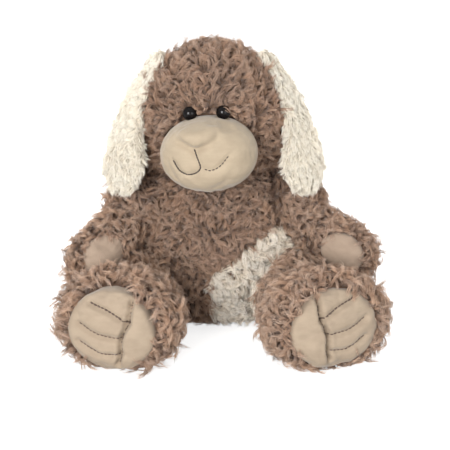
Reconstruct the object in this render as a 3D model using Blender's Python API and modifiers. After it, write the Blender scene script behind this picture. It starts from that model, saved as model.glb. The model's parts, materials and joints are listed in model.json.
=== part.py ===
"""Seated plush dog, about 26 cm tall.

Units are metres in the file that Blender builds and millimetres in the constants below.
Frame: the origin is on the floor under the middle of the seat, +Z up, the dog faces -Y,
so +X is the dog's own left.

Plush is modelled at the middle of its pile. Every cut piece of fabric is one solid, every
stuffed volume is another, and pieces that meet along a seam keep a gap of 0.3 mm.
"""

import math

import bmesh
import bpy
from mathutils import Matrix, Vector
from mathutils.bvhtree import BVHTree

MM = 0.001
GAP = 0.3  # between pieces that touch
NAME = "plush_dog"

# Fabric
PLUSH = 8.0  # plush fabric with half of its pile
VELOUR = 2.5  # velour with its backing
THREAD = 0.55  # radius of the embroidery thread
CHANNEL = 1.0  # radius of the sunk line that the thread lies in

# Torso: height, half width, half depth of each ring, pole to pole
TORSO_RINGS = [
    (-12, 0, 0), (-8, 31, 21), (0, 52, 35), (10, 61, 45.5), (24, 66.5, 53), (42, 67, 55.5),
    (58, 62.5, 52.5), (72, 58.5, 49), (86, 56, 46.5), (98, 55, 44), (109, 53.5, 41.5),
    (118, 50, 38), (126, 43, 32.5), (131.5, 31, 24), (134.5, 15, 12), (135, 0, 0),
]
SEAT_THICK = 6.0
TORSO_SPLIT_Y = -16.0  # the side seam between the front and the back panel
TORSO_SEGMENTS = 22
# The cream patch on the dog's left hip, as an outline seen from the front (x, z)
PATCH = [
    (62, 84), (80, 66), (78, 50), (61, 40), (45, 30), (38, 16), (29, 12), (10, 13),
    (5, 30), (5, 48), (28, 66), (45, 78),
]

# Neck and head
NECK = (-2.0, -8.0, 142.0)  # where the head turns and nods
NECK_BALL = 20.0
NECK_SHANK = 14.0
NECK_FOOT_Z = 98.0
SOCKET_PLAY = 1.0  # every ball sits in a socket this much larger in radius
HEAD = (-1.5, -15.0, 195.0)
HEAD_YAW = -6.0
HEAD_ROLL = -3.0
HEAD_SEMI = (53.0, 50.0, 57.0)
HEAD_CHEEKS = 2.35  # the power that fills the cheeks out; 2 would be an ellipsoid
HEAD_PLUSH = 9.0
GUSSET = 22.0  # half width of the crown panel
GUSSET_END_Z = -20.0  # the crown panel stops this far below the head's middle

# Muzzle, in the head's own axes
MUZZLE = (1.0, -50.0, -29.0)
MUZZLE_SEMI = (41.0, 35.0, 31.5)
MUZZLE_POWER = 2.25
NOSE = (-2.5, -8.0)  # x, z of the nose bump
NOSE_SIZE = (19.0, 10.0, 6.5)  # half width, half height, how far it stands out
CHIN_SEAM_Z = -49.0
# Mouth thread, (x, z) on the muzzle
MOUTH_RIGHT = [(-5.4, -22.7), (-2.6, -30), (-0.7, -36.6), (-3.6, -40.4), (-9.4, -42.5),
               (-16.7, -40.4), (-22.2, -32.4)]
MOUTH_LEFT = [(3.3, -38.3), (8.1, -39.3), (15.4, -36.6), (22.7, -28.6)]

# Eyes, in the head's own axes
EYE_X = 14.0
EYE_Z = 1.0
EYE_RADIUS = 6.0
EYE_DOME = 5.2
EYE_BASE_Y = -48.6
EYE_SHANK = 1.75
EYE_SHANK_END_Y = -27.0
WASHER_Y = -32.0
WASHER_RADIUS = 7.0
WASHER_THICK = 2.0

# Ears: height along the ear, then centre x, y, z and the angle of the width to the x axis
EAR_HINGE = (46.0, -30.0, 234.0)
EAR_LINE = [
    (47, -29, 233, 58), (56, -31, 219, 50), (64, -34, 201, 40), (70, -38, 180, 30),
    (74, -42, 160, 23), (77, -45, 142, 18), (78, -47, 126, 16),
]
EAR_HALF_WIDTHS = [9.5, 12.5, 16, 18.5, 20.5, 20, 10]
EAR_LAYER = 4.2
EAR_CUP = 2.5
EAR_RIGHT_NARROWER = 0.95  # the right ear spreads a little less
EAR_RIGHT_OUT = 3.0  # and hangs a little further out, because the head leans to that side

# Arms: shoulder, direction and the rings beyond the ball (distance, half width)
SHOULDER = (66.0, 0.0, 101.0)
ARM_BALL = 24.0
ARM_RINGS = [(22, 20.0), (36, 20.6), (50, 21.8), (64, 22.6), (75, 22.4), (84, 19), (90, 11.5)]
ARM_END = 92.0
ARM_AIM = {"left": (51.0, -36.0, -32.0), "right": (-37.0, -48.0, -34.0)}
PAW_FACES = {"left": (-0.27, -0.92, 0.10), "right": (0.45, -0.85, 0.28)}
PAW_AT = 70.0  # distance of the pad's middle from the shoulder
PAW_PAD = (19.5, 16.5)  # half length along the arm, half width

# Legs: hip, foot centre and the rings beyond the ball (distance, half width, half height, rise)
HIP = (54.0, -28.0, 34.0)
LEG_BALL = 28.0
LEG_RINGS = [
    (20, 24.6, 24.6, 0.5), (34, 27.5, 26.5, 1), (50, 32.5, 29.5, 1.5), (64, 38.5, 33, 2),
    (78, 44, 35.5, 2.5), (92, 47, 36, 3), (106, 46.5, 36, 3), (118, 42, 33.5, 3),
    (125.5, 32, 27, 3), (128.2, 17, 15.5, 3),
]
LEG_END = 128.8
FOOT_AT = {"left": (88.5, -122.0), "right": (-76.0, -126.0)}
SOLE = {"left": (37.0, 32.5), "right": (35.5, 33.5)}  # half width, half height
SOLE_RISE = 2.5
# Sole stitching, (outward, up) from the middle of the pad
TOE_LINES = [
    [(21, 21.5), (5, 17), (-11, 9)],
    [(30, 4.5), (14, -2.5), (-4, -4.5)],
    [(30, -11), (12, -18.5), (-3, -18)],
]
TUCK_LINE = [(-14, 24), (-12, 9), (-6.5, -5), (-6, -17), (-3, -27)]

# Tail
TAIL = (0.0, 60.0, 30.0)
TAIL_BALL = 10.0
TAIL_RINGS = [(13, 9.2), (23, 10.5), (32, 9.5), (38, 5.5)]
TAIL_END = 40.0
TAIL_AIM = (0.0, 0.82, 0.57)

SIDES = {"left": 1.0, "right": -1.0}

COLOURS = {
    "brown_plush": ((0.255, 0.165, 0.120), 0.95),
    "cream_plush": ((0.740, 0.665, 0.560), 0.95),
    "beige_velour": ((0.530, 0.420, 0.310), 0.90),
    "pink_velour": ((0.370, 0.270, 0.215), 0.90),
    "stuffing": ((0.850, 0.850, 0.830), 0.95),
    "eye_gloss": ((0.010, 0.008, 0.007), 0.08),
    "washer_white": ((0.800, 0.800, 0.780), 0.45),
    "dark_thread": ((0.045, 0.032, 0.028), 0.80),
    "brown_thread": ((0.150, 0.090, 0.065), 0.80),
}


# Scene and objects


def clear_scene():
    for obj in list(bpy.data.objects):
        bpy.data.objects.remove(obj, do_unlink=True)


def make_collection(name):
    group = bpy.data.collections.new(name)
    bpy.context.scene.collection.children.link(group)
    return group


def make_material(name):
    colour, roughness = COLOURS[name]
    material = bpy.data.materials.new(name)
    material.use_nodes = True
    shader = material.node_tree.nodes["Principled BSDF"]
    shader.inputs["Base Color"].default_value = (*colour, 1.0)
    shader.inputs["Roughness"].default_value = roughness
    shader.inputs["Metallic"].default_value = 0.0
    material.diffuse_color = (*colour, 1.0)
    return material


clear_scene()
PARTS = make_collection(NAME)
CUTTERS = make_collection(NAME + "_cutters")
MATERIALS = {name: make_material(name) for name in COLOURS}


def add_object(name, data, material, parent, local):
    """A visible piece. With no material it is a cutter instead, which is never rendered."""
    obj = bpy.data.objects.new(name, data)
    if material is None:
        CUTTERS.objects.link(obj)
        obj.hide_render = True
        obj.display_type = "WIRE"
    else:
        PARTS.objects.link(obj)
        data.materials.append(MATERIALS[material])
    obj.parent = parent
    obj.matrix_local = local if local is not None else Matrix.Identity(4)
    return obj


def finish_mesh(bm, name, material, parent=None, local=None, smooth=True):
    """Turns a bmesh in millimetres into an object in metres, its faces looking outwards."""
    bmesh.ops.scale(bm, vec=(MM, MM, MM), verts=bm.verts)
    mesh = bpy.data.meshes.new(name)
    bm.to_mesh(mesh)
    bm.free()
    if smooth:
        mesh.shade_smooth()
    return add_object(name, mesh, material, parent, local)


def empty(name, location, parent=None, rotation=None):
    """A pivot: what hangs from it moves about this point."""
    obj = bpy.data.objects.new(name, None)
    obj.empty_display_size = 0.02
    PARTS.objects.link(obj)
    obj.parent = parent
    turn = rotation.to_4x4() if rotation is not None else Matrix.Identity(4)
    obj.matrix_local = Matrix.Translation(Vector(location) * MM) @ turn
    return obj


def boolean(obj, operation, others):
    for other in others:
        modifier = obj.modifiers.new(operation.lower() + "_" + other.name, "BOOLEAN")
        modifier.operation = operation
        modifier.solver = "EXACT"
        modifier.object = other
    return obj


def cut(obj, *cutters):
    return boolean(obj, "DIFFERENCE", cutters)


def keep(obj, *cutters):
    return boolean(obj, "INTERSECT", cutters)


def join(obj, *others):
    return boolean(obj, "UNION", others)


# Basic forms


def ring_body(name, rings, segments, material, parent=None, local=None, power=2.0):
    """A UV sphere whose rings are set to (along, half x, half y, shift x, shift y)."""
    bm = bmesh.new()
    last = len(rings) - 1
    bmesh.ops.create_uvsphere(bm, u_segments=segments, v_segments=last, radius=1.0)
    for vert in bm.verts:
        polar = math.acos(max(-1.0, min(1.0, vert.co.z)))
        angle = math.atan2(vert.co.y, vert.co.x)
        along, half_x, half_y, shift_x, shift_y = rings[round((1 - polar / math.pi) * last)]
        across, deep = (
            math.copysign(abs(f) ** (2 / power), f) for f in (math.cos(angle), math.sin(angle))
        )
        vert.co = (shift_x + half_x * across, shift_y + half_y * deep, along)
    return finish_mesh(bm, name, material, parent, local)


def ball(name, radius, centre=(0, 0, 0), material=None, parent=None, segments=16, rings=10):
    bm = bmesh.new()
    bmesh.ops.create_uvsphere(bm, u_segments=segments, v_segments=rings, radius=radius)
    bmesh.ops.translate(bm, vec=centre, verts=bm.verts)
    return finish_mesh(bm, name, material, parent)


def box(name, low, high, parent=None, local=None):
    bm = bmesh.new()
    bmesh.ops.create_cube(bm, size=1.0)
    for vert in bm.verts:
        vert.co = [a + (b - a) * (c + 0.5) for a, b, c in zip(low, high, vert.co)]
    return finish_mesh(bm, name, None, parent, local, smooth=False)


def rod(name, half_x, half_y, low, high, material=None, parent=None, local=None, segments=16):
    """A closed elliptical cylinder along its own z axis."""
    bm = bmesh.new()
    bmesh.ops.create_cone(
        bm, cap_ends=True, segments=segments, radius1=1.0, radius2=1.0, depth=1.0
    )
    for vert in bm.verts:
        x, y, z = vert.co
        vert.co = (x * half_x, y * half_y, low + (high - low) * (z + 0.5))
    return finish_mesh(bm, name, material, parent, local, smooth=False)


def ball_arc(radius, first=180.0, last=66.0, steps=4):
    """Rings of the round inner end of a limb, from its pole towards the shaft."""
    rings = []
    for i in range(steps + 1):
        angle = math.radians(first + (last - first) * i / steps)
        r = radius * math.sin(angle)
        rings.append((radius * math.cos(angle), r, r, 0.0, 0.0))
    return rings


def limb_rings(radius, shaft, end, inset):
    """All rings of a limb, shrunk by inset: an exact ball about the joint, then the shaft."""
    rings = ball_arc(radius - inset)
    for ring in shaft:
        along, half_x = ring[0], ring[1]
        half_y = ring[2] if len(ring) > 2 else ring[1]
        rise = ring[3] if len(ring) > 3 else 0.0
        along = min(along, end - inset - (end - along) * 0.35) if inset else along
        rings.append((along, half_x - inset, half_y - inset, 0.0, rise))
    rings.append((end - inset, 0.0, 0.0, 0.0, rings[-1][4]))
    return [r for r in rings if r[1] > 0.0 or r in (rings[0], rings[-1])]


def axes(aim, up):
    """Rotation whose z looks along aim and whose y is as near to up as it can be."""
    z = Vector(aim).normalized()
    x = Vector(up).cross(z).normalized()
    return Matrix((x, z.cross(x), z)).transposed()


def smooth_line(points, per=2):
    """A Catmull-Rom curve through the points."""
    points = [Vector(p) for p in points]
    padded = [2 * points[0] - points[1], *points, 2 * points[-1] - points[-2]]
    line = []
    for a, b, c, d in zip(padded, padded[1:], padded[2:], padded[3:]):
        for i in range(per):
            t = i / per
            line.append(
                0.5 * ((2 * b) + (c - a) * t + (2 * a - 5 * b + 4 * c - d) * t * t
                       + (3 * b - a - 3 * c + d) * t ** 3)
            )
    return [*line, points[-1]]


def tube_curve(name, path, radius, material, parent=None):
    """A thread: a poly curve with a round bevel and filled ends."""
    data = bpy.data.curves.new(name, "CURVE")
    data.dimensions = "3D"
    data.bevel_depth = radius * MM
    data.bevel_resolution = 1 if material else 0
    data.use_fill_caps = True
    spline = data.splines.new("POLY")
    spline.points.add(len(path) - 1)
    for point, place in zip(spline.points, path):
        point.co = (*(Vector(place) * MM), 1.0)
    return add_object(name, data, material, parent, None)


def as_mesh(curve):
    """The curve object's evaluated shape as a welded mesh object, in the curve's place."""
    graph = bpy.context.evaluated_depsgraph_get()
    mesh = bpy.data.meshes.new_from_object(curve.evaluated_get(graph))
    bm = bmesh.new()
    bm.from_mesh(mesh)
    bmesh.ops.remove_doubles(bm, verts=bm.verts, dist=1e-6)
    bmesh.ops.recalc_face_normals(bm, faces=bm.faces)
    bm.to_mesh(mesh)
    bm.free()
    name, parent, local = curve.name, curve.parent, curve.matrix_local.copy()
    bpy.data.objects.remove(curve, do_unlink=True)
    return add_object(name, mesh, None, parent, local)


def surface_of(obj):
    """The object's own mesh as a tree that rays can meet, in its own axes and millimetres."""
    verts = [v.co / MM for v in obj.data.vertices]
    return BVHTree.FromPolygons(verts, [tuple(p.vertices) for p in obj.data.polygons])


def stitch(name, surface, points, origin, ahead, lay, parent, material="dark_thread"):
    """A thread on a surface and the sunk channel around it.

    lay turns a 2-D point into a 3-D one beside the surface, and ahead looks at the surface.
    """
    path = []
    for flat in smooth_line([(x, y, 0.0) for x, y in points]):
        start = Vector(origin) + lay(flat.x, flat.y)
        place, normal, _, _ = surface.ray_cast(start, Vector(ahead))
        path.append(place - normal * 0.25)
    thread = tube_curve(name, path, THREAD, material, parent)
    ends = [path[0] + (path[0] - path[1]).normalized() * 1.2, *path,
            path[-1] + (path[-1] - path[-2]).normalized() * 1.2]
    channel = as_mesh(tube_curve("cut_" + name, ends, CHANNEL, None, parent))
    return thread, channel


# Torso


def torso_rings(inset):
    bottom, top = TORSO_RINGS[0][0], TORSO_RINGS[-1][0]
    rings = [(bottom, 0.0, 0.0, 0.0, 0.0)]
    for z, a, b in TORSO_RINGS[1:-1]:
        if b > inset + 3:
            sunk = inset * max(0.0, (z - 60) / (top - 60)) ** 2
            rings.append((z - sunk, a - inset, b - inset, 0.0, 0.0))
    rings.append((top - inset, 0.0, 0.0, 0.0, 0.0))
    return rings


def torso_body(name, inset, material=None):
    return ring_body(name, torso_rings(inset), TORSO_SEGMENTS, material, power=2.15)


def patch_prism(name, grow):
    """The hip patch's outline drawn out along y, widened by grow all round."""
    middle = Vector((sum(p[0] for p in PATCH), sum(p[1] for p in PATCH))) / len(PATCH)
    bm = bmesh.new()
    corners = []
    for x, z in PATCH:
        away = (Vector((x, z)) - middle).normalized() * grow
        corners.append(bm.verts.new((x + away.x, -90.0, z + away.y)))
    face = bm.faces.new(corners)
    drawn = bmesh.ops.extrude_face_region(bm, geom=[face])["geom"]
    depth = 90.0 + TORSO_SPLIT_Y - GAP / 2
    moved = [g for g in drawn if isinstance(g, bmesh.types.BMVert)]
    bmesh.ops.translate(bm, vec=(0, depth, 0), verts=moved)
    bmesh.ops.recalc_face_normals(bm, faces=bm.faces)
    return finish_mesh(bm, name, None, smooth=False)


def torso_sockets():
    """What the neck, the limbs and the tail take out of the torso."""
    found = [
        ball("cut_neck_socket", NECK_BALL + SOCKET_PLAY, NECK),
        rod("cut_neck_bore", NECK_SHANK + 1, NECK_SHANK + 1, NECK_FOOT_Z - 1, 150,
            local=Matrix.Translation(Vector((NECK[0], NECK[1], 0)) * MM)),
        ball("cut_tail_socket", TAIL_BALL + SOCKET_PLAY, TAIL, segments=20, rings=10),
    ]
    for side, sign in SIDES.items():
        for what, radius, at in (("hip", LEG_BALL, HIP), ("shoulder", ARM_BALL, SHOULDER)):
            centre = (at[0] * sign, at[1], at[2])
            found.append(ball(f"cut_{what}_{side}", radius + SOCKET_PLAY, centre))
    return found


def hip_openings():
    """The round leg openings in the front panels, one at each hip."""
    turn = Matrix.Rotation(math.radians(90), 4, "X")
    openings = []
    for side, sign in SIDES.items():
        place = Matrix.Translation(Vector((HIP[0] * sign, 0, HIP[2])) * MM) @ turn
        radius = LEG_BALL + SOCKET_PLAY + 0.6
        openings.append(rod(f"cut_leg_opening_{side}", radius, radius, 10, 100, local=place,
                            segments=20))
    return openings


def build_torso():
    sockets = torso_sockets()
    openings = hip_openings()
    inner = torso_body("cut_torso_inner", PLUSH)
    above_seat = SEAT_THICK + GAP
    far = 200.0
    front_half = box("cut_torso_front", (-far, -far, above_seat), (far, TORSO_SPLIT_Y - GAP / 2, far))
    back_half = box("cut_torso_back", (-far, TORSO_SPLIT_Y + GAP / 2, above_seat), (far, far, far))
    stuffed = box("cut_torso_above_seat", (-far, -far, above_seat), (far, far, far))
    seat_slab = box("cut_torso_seat", (-far, -far, 0.0), (far, far, SEAT_THICK))
    patch_space = patch_prism("cut_patch_space", GAP)
    patch_shape = patch_prism("cut_patch_shape", 0.0)

    front = torso_body("torso_front_panel", 0.0, "brown_plush")
    cut(front, inner)
    keep(front, front_half)
    cut(front, patch_space, *sockets, *openings)
    patch = torso_body("hip_patch", 0.0, "cream_plush")
    cut(patch, inner)
    keep(patch, patch_shape)
    cut(patch, sockets[3], openings[0])
    back = torso_body("torso_back_panel", 0.0, "brown_plush")
    cut(back, inner)
    keep(back, back_half)
    cut(back, *sockets)
    seat = torso_body("seat_panel", 0.0, "brown_plush")
    keep(seat, seat_slab)
    cut(seat, sockets[3], sockets[5])
    stuffing = torso_body("torso_stuffing", PLUSH + GAP, "stuffing")
    keep(stuffing, stuffed)
    cut(stuffing, *sockets)
    build_back_stitch(back)


def build_back_stitch(back):
    """The ladder stitch that closes the back seam, as one wavy thread."""
    surface = surface_of(torso_body("cut_torso_skin", 0.0))
    points = [((-1.0) ** i * 1.6, 62.0 + 4.5 * i) for i in range(8)]
    path = []
    for x, z in points:
        place, normal, _, _ = surface.ray_cast(Vector((x, 120, z)), Vector((0, -1, 0)))
        path.append(place - normal * 0.2)
    tube_curve("back_closing_stitch", path, THREAD, "brown_thread")
    low, high = path[0], path[-1]
    ends = [low - Vector((0, 0, 1.4)), *path, high + Vector((0, 0, 1.4))]
    cut(back, as_mesh(tube_curve("cut_back_closing_stitch", ends, CHANNEL, None)))


# Head


def ellipsoid_rings(semi, count, power=2.0, low_power=None):
    """Rings of a rounded form; low_power rounds its lower half differently."""
    rings = []
    for i in range(count + 1):
        angle = math.pi * i / count
        exponent = 2 / (low_power if low_power and math.cos(angle) > 0 else power)
        size = max(0.0, math.sin(angle)) ** exponent
        along = -semi[2] * math.copysign(abs(math.cos(angle)) ** exponent, math.cos(angle))
        rings.append((along, semi[0] * size, semi[1] * size, 0.0, 0.0))
    return rings


def head_body(name, inset, parent, material=None):
    semi = [s - inset for s in HEAD_SEMI]
    rings = ellipsoid_rings(semi, 11, low_power=HEAD_CHEEKS)
    return ring_body(name, rings, 18, material, parent)


def nose_rise(x, z):
    """How far the nose stands out of the muzzle, steeper below than above."""
    q_x = (x - NOSE[0]) / NOSE_SIZE[0]
    q_z = (z - NOSE[1]) / NOSE_SIZE[1]
    if q_z < 0:
        q_z *= 1.25
    return NOSE_SIZE[2] * math.exp(-((q_x * q_x + q_z * q_z) ** 1.5))


def muzzle_body(name, inset, parent, material=None, segments=22, count=13):
    """A blunt ellipsoid that looks along -y, with the nose raised out of its front."""
    semi = [s - inset for s in MUZZLE_SEMI]
    rings = ellipsoid_rings((semi[0], semi[2], semi[1]), count, MUZZLE_POWER)
    turn = Matrix.Rotation(math.radians(90), 4, "X")
    obj = ring_body(name, rings, segments, material, parent, power=2.1)
    for vert in obj.data.vertices:
        place = turn @ (vert.co / MM)
        if place.y < 0:
            place.y -= nose_rise(place.x + MUZZLE[0], place.z + MUZZLE[2])
        vert.co = (place + Vector(MUZZLE)) * MM
    return obj


def build_eye(side, sign, head):
    """A domed eye with its shank, and the cutter that clears both."""
    turn = Matrix.Rotation(math.radians(90), 4, "X")
    place = Matrix.Translation(Vector((EYE_X * sign, EYE_BASE_Y, EYE_Z)) * MM) @ turn
    eye = eye_solid(f"eye_{side}", 0.0, "eye_gloss", head, place)
    clear = eye_solid(f"cut_eye_{side}", GAP + 0.05, None, head, place)
    washer_at = Matrix.Translation(Vector((EYE_X * sign, WASHER_Y, EYE_Z)) * MM) @ turn
    half = WASHER_THICK / 2
    washer = rod(f"eye_washer_{side}", WASHER_RADIUS, WASHER_RADIUS, -half, half,
                 "washer_white", head, washer_at, 14)
    pocket = rod(f"cut_washer_{side}", WASHER_RADIUS + GAP, WASHER_RADIUS + GAP, -half - GAP,
                 half + GAP, None, head, washer_at, 14)
    cut(washer, clear)
    return eye, clear, pocket


def eye_solid(name, grow, material, parent, place):
    """Half an ellipsoid on a shank, turned about z: the outer side of its profile runs down."""
    radius, dome, shank = EYE_RADIUS + grow, EYE_DOME + grow, EYE_SHANK + grow
    end = EYE_SHANK_END_Y - EYE_BASE_Y + grow
    profile = [(0.0, dome)]
    for i in range(1, 7):
        angle = math.radians(15 * i)
        profile.append((radius * math.sin(angle), dome * math.cos(angle)))
    profile += [(radius, -0.8 - grow), (shank, -0.8 - grow), (shank, -end), (0.0, -end)]
    bm = bmesh.new()
    verts = [bm.verts.new((x, 0.0, z)) for x, z in profile]
    for a, b in zip(verts, verts[1:]):
        bm.edges.new((a, b))
    obj = finish_mesh(bm, name, material, parent, place, smooth=False)
    screw = obj.modifiers.new("turn", "SCREW")
    screw.steps = screw.render_steps = 14
    screw.use_merge_vertices = True
    screw.merge_threshold = 1e-5
    return obj


def build_head(nod):
    roll = Matrix.Rotation(math.radians(HEAD_ROLL), 3, "Y")
    yaw = Matrix.Rotation(math.radians(HEAD_YAW), 3, "Z")
    offset = Vector(HEAD) - Vector(NECK)
    head = empty("head_axes", offset, nod, yaw @ roll)
    far = 200.0
    inner = head_body("cut_head_inner", HEAD_PLUSH, head)
    back_of_muzzle = head_body("cut_head_stuffed", HEAD_PLUSH - GAP, head)
    muzzle_space = muzzle_body("cut_muzzle_space", -GAP, head)
    muzzle_inner = muzzle_body("cut_muzzle_inner", VELOUR + 0.4, head, None, 16, 10)
    socket = ball("cut_head_socket", NECK_BALL + SOCKET_PLAY, parent=nod)
    eyes = [build_eye(side, sign, head) for side, sign in SIDES.items()]
    eye_space = [clear for _, clear, _ in eyes]

    crown_box = box("cut_crown", (-GUSSET, -far, GUSSET_END_Z), (GUSSET, far, far), head)
    wide = GUSSET + GAP
    crown_space = box("cut_crown_space", (-wide, -far, GUSSET_END_Z - GAP), (wide, far, far), head)
    crown = head_body("crown_panel", 0.0, head, "brown_plush")
    cut(crown, inner)
    keep(crown, crown_box)
    cut(crown, muzzle_space, *eye_space)
    for side, sign in SIDES.items():
        low, high = sorted((sign * GAP / 2, sign * far))
        half = box(f"cut_head_{side}", (low, -far, -far), (high, far, far), head)
        panel = head_body(f"head_{side}_panel", 0.0, head, "brown_plush")
        cut(panel, inner)
        keep(panel, half)
        cut(panel, crown_space, muzzle_space, socket)
    stuffing = head_body("head_stuffing", HEAD_PLUSH + GAP, head, "stuffing")
    cut(stuffing, socket, *eye_space, *[pocket for _, _, pocket in eyes])

    threads = []
    surface = surface_of(muzzle_space)
    for side, points in (("right", MOUTH_RIGHT), ("left", MOUTH_LEFT)):
        threads.append(stitch(f"mouth_stitch_{side}", surface, points, (0, -140, 0), (0, 1, 0),
                              lambda x, z: Vector((x, 0, z)), head))
    channels = [channel for _, channel in threads]
    above = box("cut_muzzle_upper", (-far, -far, CHIN_SEAM_Z + GAP / 2), (far, far, far), head)
    below = box("cut_muzzle_lower", (-far, -far, -far), (far, far, CHIN_SEAM_Z - GAP / 2), head)
    for name, part in (("muzzle_panel", above), ("chin_panel", below)):
        panel = muzzle_body(name, 0.0, head, "beige_velour")
        cut(panel, muzzle_inner, back_of_muzzle)
        keep(panel, part)
        if part is above:
            cut(panel, *eye_space, *channels)
    filling = muzzle_body("muzzle_stuffing", VELOUR + 0.4 + GAP, head, "stuffing", 16, 10)
    cut(filling, back_of_muzzle, *eye_space)
    build_ears(head, nod)


def build_neck(turn):
    neck = ball("neck_stuffing", NECK_BALL, material="stuffing", parent=turn)
    shank = rod("cut_neck_shank", NECK_SHANK, NECK_SHANK, NECK_FOOT_Z - NECK[2], 0, parent=turn)
    join(neck, shank)


# Ears


def ear_point(across, along, sign):
    """A point of the ear's surface: across from -1 to 1, along from 0 to 1."""
    at = along * (len(EAR_LINE) - 1)
    i = min(int(at), len(EAR_LINE) - 2)
    t = at - i
    x, y, z, turn = (a + (b - a) * t for a, b in zip(EAR_LINE[i], EAR_LINE[i + 1]))
    half = EAR_HALF_WIDTHS[i] + (EAR_HALF_WIDTHS[i + 1] - EAR_HALF_WIDTHS[i]) * t
    angle = math.radians(turn)
    wide = Vector((math.cos(angle), math.sin(angle), 0))
    face = Vector((math.sin(angle), -math.cos(angle), 0))
    if sign < 0:
        x = EAR_HINGE[0] + EAR_RIGHT_OUT + (x - EAR_HINGE[0]) * EAR_RIGHT_NARROWER
    place = Vector((x, y, z)) + wide * (half * across) - face * (EAR_CUP * across ** 2)
    return Vector((place.x * sign, place.y, place.z))


def ear_layer(name, sign, layer, pivot):
    """One layer of the ear, +1 the outer and -1 the lining: a curved leaf thickened away from
    the ear's middle by Solidify."""
    bm = bmesh.new()
    bmesh.ops.create_grid(bm, x_segments=4, y_segments=10, size=1.0)
    for vert in bm.verts:
        place = ear_point(vert.co.x, (vert.co.y + 1) / 2, sign)
        vert.co = place - Vector((EAR_HINGE[0] * sign, EAR_HINGE[1], EAR_HINGE[2]))
    bm.normal_update()
    outwards = -sign * layer
    for vert in bm.verts:
        vert.co += vert.normal * (outwards * GAP * 0.7)
    obj = finish_mesh(bm, name, "cream_plush", pivot)
    solid = obj.modifiers.new("thickness", "SOLIDIFY")
    solid.thickness = EAR_LAYER * MM
    solid.offset = outwards
    return obj


def build_ears(head, nod):
    for side, sign in SIDES.items():
        hinge = Vector((EAR_HINGE[0] * sign, EAR_HINGE[1], EAR_HINGE[2]))
        pivot = empty(f"ear_{side}_pivot", hinge - Vector(NECK), nod)
        ear_layer(f"ear_{side}_outer", sign, 1.0, pivot)
        ear_layer(f"ear_{side}_lining", sign, -1.0, pivot)


# Limbs


def build_arm(side, sign):
    centre = Vector((SHOULDER[0] * sign, SHOULDER[1], SHOULDER[2]))
    frame = axes(ARM_AIM[side], PAW_FACES[side])
    pivot = empty(f"arm_{side}_pivot", centre, rotation=frame)

    def body(name, inset, material=None):
        rings = limb_rings(ARM_BALL, ARM_RINGS, ARM_END, inset)
        return ring_body(name, rings, 14, material, pivot)

    def pad_prism(name, grow):
        turn = Matrix.Rotation(math.radians(-90), 4, "X")
        place = Matrix.Translation(Vector((0, 0, PAW_AT)) * MM) @ turn
        return rod(name, PAW_PAD[1] + grow, PAW_PAD[0] + grow, 4, 60, None, pivot, place)

    sleeve = body(f"arm_{side}_sleeve", 0.0, "brown_plush")
    cut(sleeve, body(f"cut_arm_{side}_inner", PLUSH), pad_prism(f"cut_paw_{side}_space", GAP))
    pad = body(f"paw_pad_{side}", 0.0, "pink_velour")
    cut(pad, body(f"cut_arm_{side}_under_pad", VELOUR))
    keep(pad, pad_prism(f"cut_paw_{side}_shape", 0.0))
    plug = body(f"cut_arm_{side}_plug", VELOUR + GAP)
    keep(plug, pad_prism(f"cut_paw_{side}_plug", -GAP))
    filling = body(f"arm_{side}_stuffing", PLUSH + GAP, "stuffing")
    join(filling, plug)


def build_leg(side, sign):
    centre = Vector((HIP[0] * sign, HIP[1], HIP[2]))
    aim = Vector((FOOT_AT[side][0] - centre.x, FOOT_AT[side][1] - centre.y, 0.0))
    pivot = empty(f"leg_{side}_pivot", centre, rotation=axes(aim, (0, 0, 1)))
    half_wide, half_tall = SOLE[side]

    def body(name, inset, material=None):
        rings = limb_rings(LEG_BALL, LEG_RINGS, LEG_END, inset)
        return ring_body(name, rings, 16, material, pivot)

    def sole_prism(name, grow):
        place = Matrix.Translation(Vector((0, SOLE_RISE, 0)) * MM)
        return rod(name, half_wide + grow, half_tall + grow, 88, 140, None, pivot, place, 20)

    skin = body(f"cut_leg_{side}_skin", 0.0)
    surface = surface_of(skin)
    sleeve = body(f"leg_{side}_sleeve", 0.0, "brown_plush")
    cut(sleeve, body(f"cut_leg_{side}_inner", PLUSH), sole_prism(f"cut_sole_{side}_space", GAP))
    pad = body(f"sole_pad_{side}", 0.0, "beige_velour")
    cut(pad, body(f"cut_leg_{side}_under_pad", VELOUR))
    keep(pad, sole_prism(f"cut_sole_{side}_shape", 0.0))
    lines = {f"toe_stitch_{side}_{i + 1}": line for i, line in enumerate(TOE_LINES)}
    lines[f"tuck_stitch_{side}"] = TUCK_LINE
    for name, line in lines.items():
        _, channel = stitch(name, surface, line, (0, SOLE_RISE, 200), (0, 0, -1),
                            lambda x, y: Vector((x * sign, y, 0)), pivot, "brown_thread")
        cut(pad, channel)
    plug = body(f"cut_leg_{side}_plug", VELOUR + GAP)
    keep(plug, sole_prism(f"cut_sole_{side}_plug", -GAP))
    filling = body(f"leg_{side}_stuffing", PLUSH + 0.5, "stuffing")
    join(filling, plug)


def build_tail():
    pivot = empty("tail_pivot", TAIL, rotation=axes(TAIL_AIM, (0, 0, 1)))

    def body(name, inset, material=None):
        rings = limb_rings(TAIL_BALL, TAIL_RINGS, TAIL_END, inset)
        return ring_body(name, rings, 16, material, pivot)

    thick = PLUSH * 0.55
    sleeve = body("tail_sleeve", 0.0, "brown_plush")
    opening = rod("cut_tail_opening", 2.5, 2.5, -20, 0, None, pivot, segments=12)
    cut(sleeve, body("cut_tail_inner", thick), opening)
    body("tail_stuffing", thick + GAP, "stuffing")


def main():
    build_torso()
    turn = empty("head_turn_pivot", NECK)
    build_neck(turn)
    nod = empty("head_nod_pivot", (0, 0, 0), turn)
    build_head(nod)
    for side, sign in SIDES.items():
        build_arm(side, sign)
        build_leg(side, sign)
    build_tail()


main()
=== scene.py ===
import json
import math

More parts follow.
